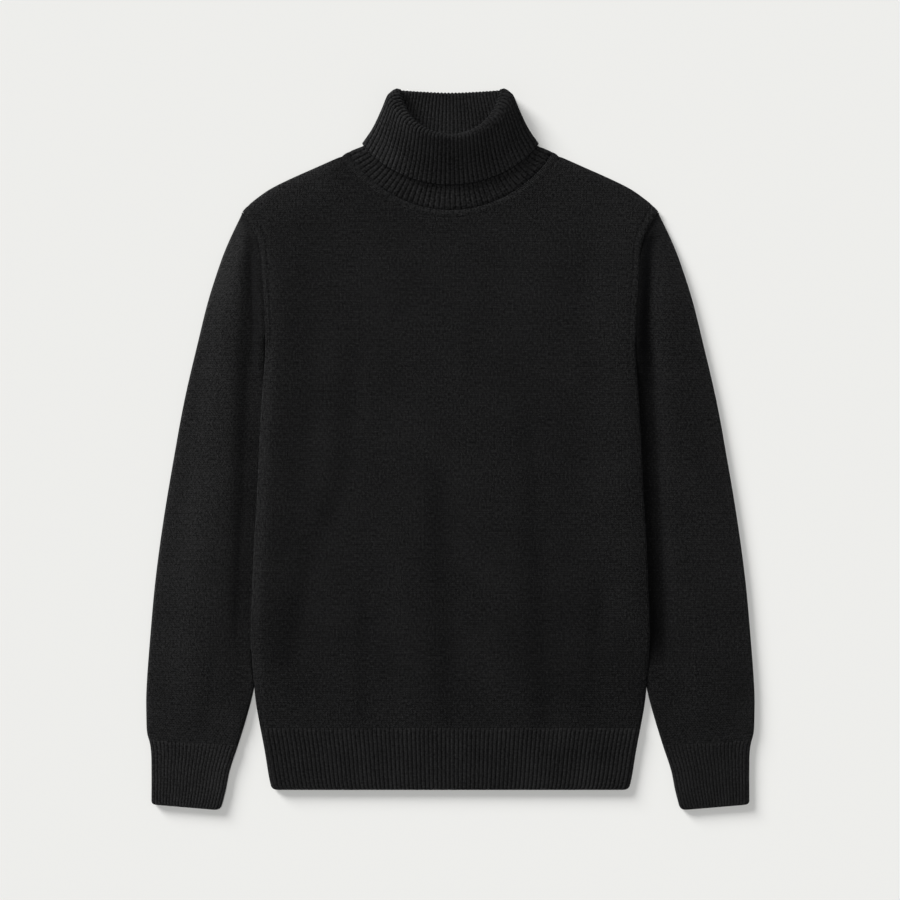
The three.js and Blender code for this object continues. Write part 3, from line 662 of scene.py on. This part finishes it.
def round_places(flat, bend):
    """Places round a tube: flat steps on each layer and bend steps round each edge."""
    one = np.linspace(0, 1, bend + 1)[:-1]
    return np.concatenate([one, 1 + np.linspace(0, 1, flat + 1)[:-1], 2 + np.linspace(
        0, 1, 2 * bend + 1)[:-1], 3 + np.linspace(0, 1, flat + 1)[:-1], 4 + one])


def side_of(points, side):
    """The points as they are for the right side, or mirrored for the left."""
    return points * np.array([side, 1.0, 1.0])


def beside_body(y):
    """1 where the sleeve lies beside the body, 0 below and above."""
    return ease(-238, -205, y) * ease(240, 222, y)


def left_sleeve_painted_light(beside, from_out, y):
    """Painted highlight and painted shade on the lit sleeve, by the distances from the body's edge
    and the outer edge: lighter overall, at the cap and in a strip beside the body, darker in the
    trough beside it.
    """
    head = ease(190, 236, y)
    pale = mix(0.2, 0.45, ease(-230, -60, y)) + 0.55 * ease(110, 235, y)
    pale = pale * ease(mix(16, 4, head), mix(34, 16, head), beside)
    cap = 0.6 * ease(26, 2, from_out) * ease(90, 200, y)
    strip = 0.3 * ease(10, 3, beside) * ease(100, 130, y)
    upper = 0.5 * ease(22, 13, beside) * ease(60, 130, y)
    lower = 0.32 * ease(27, 15, beside) * ease(60, 0, y)
    return pale + cap + strip - (upper + lower) * beside_body(y)


def right_sleeve_painted_light(beside, y):
    """Painted shade on the right sleeve, which lies in the body's shade: darker in the crease beside
    the body, round it and towards the cuff, and a little lighter up towards its head.
    """
    wide = mix(27, 20, ease(90, 150, y))
    crease = mix(0.88, 1.2, ease(60, 130, y)) * ease(wide, 7, beside)
    around = 0.16 * ease(62, 34, beside) * ease(150, 90, y)
    low = (0.14 + 0.22 * ease(42, 12, beside)) * ease(-100, -240, y)
    cap = 0.25 * ease(14, 34, beside) * ease(130, 235, y)
    return cap - low - (crease + around) * beside_body(y)


def sleeve_painted_light(side, beside, from_out, y):
    """Painted light and shade on a sleeve, with the painted highlight that both have along their
    outer edge.
    """
    own = right_sleeve_painted_light(beside, y) if side > 0 else left_sleeve_painted_light(beside, from_out, y)
    return own + SLEEVE_RIM_HIGHLIGHT * ease(9, 0, from_out)


def sleeve_around(fine):
    """Places round the sleeve, closer together on its top layer beside the body."""
    around = np.append(round_places(46 if fine else 12, 7 if fine else 4), 5.0)
    if not fine:
        return around
    return np.unique(np.concatenate([around[around <= 3], 3 + closer(40, 1.8), around[around >= 4]]))


def sleeve_piece(side, material):
    def section(c, y):
        return sleeve_section(side, c, y)

    def skin(way, fine):
        bottom = CUFF_TOP + SEAM / 2
        rows = np.insert(np.linspace(bottom, SLEEVE_HEAD, 214 if fine else 36), 1, bottom + CRISP)
        around = sleeve_around(fine)
        c, y = np.meshgrid(around, rows)
        middle = section(c, y)
        x = middle[..., 0]
        beside, from_out = x - edge_x(y), sleeve_line(y)[2] - x
        on = armhole(y) * (c > 3)
        dent = 0.35 * np.exp(-((beside - 1.0) / 1.1) ** 2) * on if fine else 0 * on
        points = middle + tube_facing(section, c, y, False) * (way * (HALF - dent))[..., None]
        steps = np.linalg.norm(np.diff(middle, axis=1, prepend=middle[:, :1]), axis=-1)
        uv = np.stack([np.cumsum(steps, axis=1), y], axis=-1)
        seam = np.stack([np.where(on > 0.5, -beside, FAR_OFF), y], axis=-1)
        # painted highlight and painted shade, on the upper layer only
        tone_and_painted_light = sleeve_painted_light(side, beside, from_out, y) * (c > 2.5)
        return Skin(side_of(points, side), rows, around, uv, seam, tone_and_painted_light)

    name = "sleeve_right" if side > 0 else "sleeve_left"
    return cloth("jersey_" + name, skin(1, True), skin(-1, False), material, name,
                 flip=side > 0)


def cuff_ribs(c):
    """The rib at each place round the cuff, and how far the ribs are raised there."""
    c = np.where(c < 1, c + 5, c)
    ribs = (c - 3) * CUFF_RIBS
    ribs = np.where(c > 4, CUFF_RIBS + (c - 4) * 1.2, ribs)
    ribs = np.where(c < 3, (c - 3) * 1.8, ribs)
    return ribs, ease(2.45, 2.75, c) * (1 - ease(4.3, 4.8, c))


def cuff_piece(side, material):
    def section(c, y):
        return sleeve_section(side, c, y, 0, CUFF_AIR)

    def skin(way, fine):
        rows = rib_rows(CUFF_END, CUFF_TOP - SEAM / 2, 40 if fine else 6)
        around = round_places(14, 10)
        if fine:
            top = 3 + np.arange(CUFF_RIBS * 9) / (CUFF_RIBS * 9)
            around = np.concatenate([around[around < 3], top, around[around >= 4]])
        c, y = np.meshgrid(around, rows)
        thick = edge_round(y - CUFF_END)
        ribs, shown = cuff_ribs(c)
        rise = rib_rise(ribs) * CUFF_RISE * shown * ease(0, 4, CUFF_TOP - y)
        far = way * HALF * thick + (rise * thick if fine else 0)
        points = section(c, y) + tube_facing(section, c, y, True) * far[..., None]
        # painted highlight or painted shade, by the side
        return Skin(side_of(points, side), rows, around, np.stack([ribs, y], axis=-1),
                    tone_and_painted_light=CUFF_LIGHT_AND_SHADE[side])

    name = "cuff_right" if side > 0 else "cuff_left"
    return cloth("rib_" + name, skin(1, True), skin(-1, False), material, name, wrap=5.0,
                 flip=side > 0)


# The neck.


def ring_points(ring, shares):
    """A ring as points evenly spaced from the middle of the back, round by +X, front and -X."""
    wide, side, front, back, z_front, z_back, round_front, round_back = ring
    turn = np.linspace(0, 2 * math.pi, 2881)
    open_ = np.abs(np.cos(turn))
    at_back = np.cos(turn) > 0
    end, round_ = np.where(at_back, back, front), np.where(at_back, round_back, round_front)
    z = (z_front + z_back) / 2 - np.sign(np.cos(turn)) * (z_front - z_back) / 2 * open_**RING_FLAT
    line = np.stack([wide * np.sin(turn), mix(side, end, open_**round_), z], axis=-1)
    far = np.concatenate([[0], np.cumsum(np.linalg.norm(np.diff(line, axis=0), axis=1))])
    return np.stack([np.interp(shares * far[-1], far, line[:, k]) for k in range(3)], axis=-1)


def collar_rings(shares):
    """The rings as points, with more between the fold's two rings so that it rolls over."""
    rings = [ring_points(r, shares) for r in COLLAR_RINGS]
    fold, turned, before = rings[FOLD_RING], rings[FOLD_RING + 1], rings[FOLD_RING - 1]
    middle, half, ahead = (fold + turned) / 2, (fold - turned) / 2, unit(fold - before)
    size = np.linalg.norm(half, axis=-1, keepdims=True)
    bends = []
    for k in range(1, FOLD_STEPS + 1):
        turn = math.pi * k / (FOLD_STEPS + 1)
        bends.append(middle + half * math.cos(turn) + ahead * size * math.sin(turn))
    return np.stack(rings[:FOLD_RING + 1] + bends + rings[FOLD_RING + 1:])


def smooth_rings(rings, steps):
    """Rings between the given ones, on smooth curves, and how far along each one is."""
    gap = np.linalg.norm(np.diff(rings, axis=0), axis=-1).mean(axis=1)
    key = np.concatenate([[0], np.cumsum(gap)])
    slope = np.empty_like(rings)
    slope[1:-1] = (rings[2:] - rings[:-2]) / (key[2:] - key[:-2])[:, None, None]
    slope[0], slope[-1] = (rings[1] - rings[0]) / gap[0], (rings[-1] - rings[-2]) / gap[-1]
    edge = key[-1] - ROUND_EDGE * np.array([0.05, 0.15, 0.3, 0.5, 0.75, 1])
    at = np.unique(np.concatenate([np.linspace(0, key[-1], steps), edge]))
    i = np.clip(np.searchsorted(key, at, side="right") - 1, 0, len(key) - 2)
    h = (key[i + 1] - key[i])[:, None, None]
    t = (at - key[i])[:, None, None] / h
    return curve(rings, slope, i, h, t), at, key


def collar_shown(way, v, z, key):
    """Where the collar's ribs are raised: all over outside, inside only where it can be seen."""
    if way > 0:
        return np.where(v > key[FOLD_RING], ease(1.2, 2.6, z), ease(0, 8, v))
    return ease(3, 5, z) * (1 - ease(key[1] + 2, key[1] + 10, v)) * ease(0, 3, v)


def collar_piece(material):
    def skin(way, columns, steps):
        shares = np.arange(columns) / columns
        middle, at, key = smooth_rings(collar_rings(shares), steps)
        out = unit(np.cross(slopes(middle, 1, wrap=True), slopes(middle, 0)))
        v = np.broadcast_to(at[:, None], middle.shape[:2])
        ribs = np.broadcast_to(shares * COLLAR_RIBS, middle.shape[:2])
        shown = collar_shown(way, v, middle[..., 2], key)
        thick = edge_round(key[-1] - v)
        far = HALF * thick + rib_rise(ribs) * COLLAR_RISE * shown * thick
        rolled = ease(key[FOLD_RING], key[FOLD_RING + 1], v)
        # painted highlight on the left of the folded-over part; the stand and the inside get a plain
        # lighter tone
        tone_and_painted_light = mix(STAND_PALE, COLLAR_HIGHLIGHT * ease(-22, -74, middle[..., 0]), rolled)
        return Skin(middle + out * (way * far)[..., None], at, shares,
                    np.stack([ribs, v], axis=-1), tone_and_painted_light=tone_and_painted_light)

    outer, inner = skin(1, COLLAR_RIBS * 10, 66), skin(-1, COLLAR_RIBS * 8, 40)
    return cloth("rolled_collar", outer, inner, material, "collar", wrap=1.0)


def band_sheet(turn, v):
    """The covered seam round the neck, from the jersey at v = 0 to the collar at v = 1."""
    base = COLLAR_RINGS[0]
    z_front = HALF + WALL + float(air_at(0.0, NECK_FRONT_Y))
    at = [mix(a, b, v) for a, b in (
        (NECK_X - 0.6, base[0] + 1.2), (NECK_SIDE_Y - 0.6, base[1] - 0.7),
        (NECK_FRONT_Y + BAND_GAP, base[2] - 0.4), (NECK_BACK_Y + BAND_GAP, base[3] - 0.4),
        (z_front, base[4]), (HALF, HALF))]
    wide, side, front, back, high, low = at
    open_, ahead = np.abs(np.cos(turn)), np.cos(turn) > 0
    z = (high + low) / 2 - np.where(ahead, 1, -1) * (high - low) / 2 * open_**RING_FLAT
    y = mix(side, np.where(ahead, back, front), open_ ** (2 * NECK_ROUND))
    return np.stack([wide * np.sin(turn), y, z], axis=-1)


def band_points(turn, v, far):
    """Points of the band, far out from its middle."""
    step = 1e-3
    along = band_sheet(turn + step, v) - band_sheet(turn - step, v)
    across = band_sheet(turn, v + step) - band_sheet(turn, v - step)
    return band_sheet(turn, v) - unit(np.cross(along, across)) * far[..., None]


def band_piece(material):
    """Its crown runs out in thin lips that cover the gaps to jersey and collar."""
    def skin(columns, v, far):
        turn, v = np.meshgrid(np.arange(columns) / columns * 2 * math.pi, v)
        shown = ease(1.6, 4, band_sheet(turn, v)[..., 2])
        points = band_points(turn, v, far(v, shown))
        along = turn / (2 * math.pi) * BAND_LONG
        return Skin(points, np.arange(len(v)), turn[0], np.stack([v * SEAM_WIDE, along], axis=-1),
                    tone_and_painted_light=BAND_PALE)

    def crown(v, shown):
        bulge = np.sin(math.pi * np.clip((v + LIP) / (1 + 2 * LIP), 0, 1)) ** 0.9
        return HALF + (0.05 + 0.8 * bulge) * mix(0.25, 1, shown)

    def under(v, shown):
        return np.array([HALF - 0.1, -HALF, -HALF, HALF - 0.1])[:, None] + 0 * v

    outer = skin(400, np.linspace(-LIP, 1 + LIP, 16), crown)
    inner = skin(200, np.array([0, 0.01, 0.99, 1]), under)
    return cloth("neck_seam", outer, inner, material, "neck_band", wrap=2 * math.pi)


# Finishes.


class Wire:
    """A number that changes over a surface, from one node's output to the next."""

    def __init__(self, finish, socket):
        self.finish, self.socket = finish, socket

    def math(self, operation, *others):
        node = self.finish.add("ShaderNodeMath", {"operation": operation}, [self, *others])
        return Wire(self.finish, node.outputs[0])

    def __add__(self, other):
        return self.math("ADD", other)

    def __radd__(self, other):
        return self.math("ADD", other)

    def __sub__(self, other):
        return self.math("SUBTRACT", other)

    def __rsub__(self, other):
        node = self.finish.add("ShaderNodeMath", {"operation": "SUBTRACT"}, [other, self])
        return Wire(self.finish, node.outputs[0])

    def __mul__(self, other):
        return self.math("MULTIPLY", other)

    def __rmul__(self, other):
        return self.math("MULTIPLY", other)

    def __truediv__(self, other):
        return self.math("DIVIDE", other)

    def __pow__(self, other):
        return self.math("POWER", other)

    def __abs__(self):
        return self.math("ABSOLUTE")

    def part(self):
        """What is left of it above a whole number."""
        return self.math("FRACT")

    def sine(self):
        return self.math("SINE")

    def most(self, other):
        """The larger of the two."""
        return self.math("MAXIMUM", other)

    def between(self, a, b):
        """0 at a and below, 1 at b and above, with a soft start and end."""
        node = self.finish.add("ShaderNodeMapRange", {"interpolation_type": "SMOOTHSTEP"},
                               [self, a, b, 0.0, 1.0])
        return Wire(self.finish, node.outputs[0])


class Finish:
    """A material and its nodes."""

    def __init__(self, name):
        self.material = bpy.data.materials.new(name)
        self.material.use_nodes = True
        self.tree = self.material.node_tree
        self.tree.nodes.clear()

    def add(self, kind, settings=None, values=()):
        """A node of a kind, with its settings and the values or wires of its sockets."""
        node = self.tree.nodes.new(kind)
        for key, value in (settings or {}).items():
            setattr(node, key, value)
        pairs = values.items() if isinstance(values, dict) else enumerate(values)
        for key, value in pairs:
            if isinstance(value, Wire):
                self.tree.links.new(value.socket, node.inputs[key])
            elif isinstance(value, bpy.types.NodeSocket):
                self.tree.links.new(value, node.inputs[key])
            else:
                node.inputs[key].default_value = value
        return node

    def place(self, layer):
        """The two coordinates of a UV layer."""
        uv = self.add("ShaderNodeUVMap", {"uv_map": layer})
        parts = self.add("ShaderNodeSeparateXYZ", None, [uv.outputs[0]])
        return Wire(self, parts.outputs[0]), Wire(self, parts.outputs[1])

    def noise(self, across, up, size, detail=2.0):
        """Soft noise from 0 to 1, with patches about size wide, on the cloth's own coordinates."""
        point = self.add("ShaderNodeCombineXYZ", None, [across / size, up / size, 0.0])
        node = self.add("ShaderNodeTexNoise", {"noise_dimensions": "3D"}, {
            "Vector": point.outputs[0], "Scale": 1.0, "Detail": detail, "Roughness": 0.55})
        return Wire(self, node.outputs["Fac"])

    def blend(self, factor, dark, light):
        """A colour between two, and past the light one where factor is above 1."""
        node = self.add("ShaderNodeMix", {"data_type": "RGBA", "clamp_factor": False},
                        {0: factor, 6: dark, 7: light})
        return node.outputs[2]

    def wool(self, colour, height, rough, distance, strength):
        """A matt finish of a little sheen, with height as its bump."""
        bump = self.add("ShaderNodeBump", None, {
            "Strength": strength, "Distance": distance, "Height": height})
        shader = self.add("ShaderNodeBsdfPrincipled", None, {
            "Base Color": colour, "Roughness": rough, "Normal": bump.outputs[0],
            "Specular IOR Level": GLOSS, "Sheen Weight": SHEEN, "Sheen Roughness": 0.55,
            "Sheen Tint": (0.75, 0.77, 0.85, 1)})
        out = self.add("ShaderNodeOutputMaterial")
        self.tree.links.new(shader.outputs[0], out.inputs[0])
        return self.material


GLOSS = 0.07
SHEEN = 0.02
KNIT_MEAN = 0.61  # the mean height of the plain knit's stitches
RIB_MEAN = 0.42  # and of the rib's


def stitches(across, up):
    """Plain knit seen close: a column of Vs in each wale. Heights from 0 to 1."""
    middle = abs((across.part() - 0.5) * 2.0)
    leg = (middle * math.pi).sine() ** 0.6
    bead = ((up - middle * 0.62).part() * math.pi).sine() ** 0.7
    return leg * (0.3 + 0.7 * bead)


def dots(along, pitch):
    """A row of stitches, from 0 between two to 1 in the middle of each."""
    return ((along / pitch).part() * math.pi).sine() ** 2.0


def jersey_finish():
    """Black plain knit with a nap, and the stitches of the armhole seam."""
    f = Finish("black_jersey")
    across, up = f.place("knit")
    from_seam, along = f.place("seam")
    wander = (f.noise(across, up, 8.0) - 0.5) * 1.4
    knit = stitches(across / WALE + wander, up / COURSE + wander)
    nap = f.noise(across, up * 0.72, 2.2, 2.0)
    strong = f.noise(across, up, 11.0).between(0.3, 0.65)
    patch = f.noise(across, up, 55.0)
    # the layer below brings painted highlight and painted shade, and the covered seam's plain
    # lighter tone
    tone_and_painted_light, _ = f.place("tone_and_painted_light")
    line = 1.0 - abs(from_seam - 0.4).between(0.3, 1.5)
    inner = 1.0 - abs(from_seam - SEAM_WIDE - STITCH_LINE).between(0.3, 1.5)
    fading = along.between(ARMPIT_Y - 8.0, ARMPIT_Y + 30.0)
    stitched = (line + inner) * (0.3 + 0.7 * dots(along, STITCH_GAP)) * fading
    height = knit * 0.7 + nap * 1.15 - stitched * 0.6
    tone = (0.48 + (knit - KNIT_MEAN) * (0.6 + 0.8 * strong) + (nap - 0.5) * 2.15
            + (patch - 0.5) * 0.35 - stitched * 0.2)
    tone = (tone * (1.0 + tone_and_painted_light * 0.3) + tone_and_painted_light * 0.35).most(0.015)
    colour = f.blend(tone, (0.0003, 0.0003, 0.0003, 1), (0.0200, 0.0200, 0.0202, 1))
    return f.wool(colour, height, 0.84 + nap * 0.12, 0.0011, 1.0)


def rib_finish():
    """Black rib knit, one column of stitches on each rib, with painted shade in the valleys and
    painted highlight on the crests.
    """
    f = Finish("black_rib")
    rib, up = f.place("knit")
    wander = (f.noise(rib * 4.5, up, 7.0) - 0.5) * 0.5
    knit = stitches(rib, up / COURSE + wander)
    # painted highlight on each rib's crest, painted shade in its valleys
    crest_highlight = (rib.part() * math.pi).sine() ** 1.4
    nap = f.noise(rib * 4.5, up, 2.0, 2.0)
    patch = f.noise(rib * 4.5, up, 34.0)
    # the layer below brings painted highlight and painted shade on hem, cuffs and collar, and the
    # stand's plain lighter tone
    tone_and_painted_light, _ = f.place("tone_and_painted_light")
    height = knit * 0.35 + nap * 0.6
    tone = (0.19 + crest_highlight * (0.1 + 0.5 * patch) + (knit - RIB_MEAN) * 0.5 + (nap - 0.5) * 2.4
            + (patch - 0.5) * 0.3).most(0.0) * (1.0 + tone_and_painted_light)
    colour = f.blend(tone, (0.0008, 0.0008, 0.0008, 1), (0.0160, 0.0160, 0.0163, 1))
    return f.wool(colour, height, 0.84 + nap * 0.12, 0.0008, 0.7)


# The pieces, and the cut of each.

jersey, rib = jersey_finish(), rib_finish()


def body_piece(front):
    layer = "front" if front else "back"
    outer, inner = body_skin(front, front, 1), body_skin(front, False, -1)
    return cloth("jersey_" + layer, outer, inner, jersey, layer + "_panel",
                 flip=not front)


back_panel, front_panel = body_piece(False), body_piece(True)
hem_back, hem_front = hem_piece(False, rib), hem_piece(True, rib)
sleeves = [sleeve_piece(side, jersey) for side in (-1, 1)]
cuffs = [cuff_piece(side, rib) for side in (-1, 1)]
neck_band = band_piece(jersey)
collar = collar_piece(rib)


# The floor, the light and the camera.


def floor():
    f = Finish("pale_floor")
    shader = f.add("ShaderNodeBsdfPrincipled", None, {
        "Base Color": (0.80, 0.80, 0.785, 1), "Roughness": 0.9, "Specular IOR Level": 0.1})
    out = f.add("ShaderNodeOutputMaterial")
    f.tree.links.new(shader.outputs[0], out.inputs[0])
    bpy.ops.mesh.primitive_plane_add(size=30, location=(0, 0, -0.0002))
    plane = bpy.context.object
    plane.name = "floor"
    plane.data.materials.append(f.material)


def sun(name, toward, strength, soft, colour):
    """A far light that comes from the direction toward."""
    light = bpy.data.lights.new(name, "SUN")
    light.energy, light.angle, light.color = strength, math.radians(soft), colour
    lamp = bpy.data.objects.new(name, light)
    x, y, z = toward
    lamp.rotation_euler = (math.atan2(math.hypot(x, y), z), 0, math.atan2(x, -y))
    bpy.context.scene.collection.objects.link(lamp)


def lights():
    sun("key", (-0.70, 0.70, 0.43), 3.95, 25, (1.0, 0.998, 0.99))
    sun("top", (-0.06, 0.06, 1.0), 1.38, 16, (1.0, 0.998, 0.99))
    world = bpy.data.worlds.new("studio")
    world.use_nodes = True
    world.node_tree.nodes["Background"].inputs[0].default_value = (0.97, 0.98, 1, 1)
    world.node_tree.nodes["Background"].inputs[1].default_value = 0.13
    bpy.context.scene.world = world


def camera():
    """Straight down, with the frame 972 mm across at the table."""
    eye = bpy.data.cameras.new("camera")
    eye.lens, eye.sensor_width = 100, 36
    post = bpy.data.objects.new("camera", eye)
    post.location = (-0.0004, -0.0005, 2.7)
    bpy.context.scene.collection.objects.link(post)
    bpy.context.scene.camera = post


floor()
lights()
camera()
bpy.context.scene.view_settings.view_transform = "Standard"
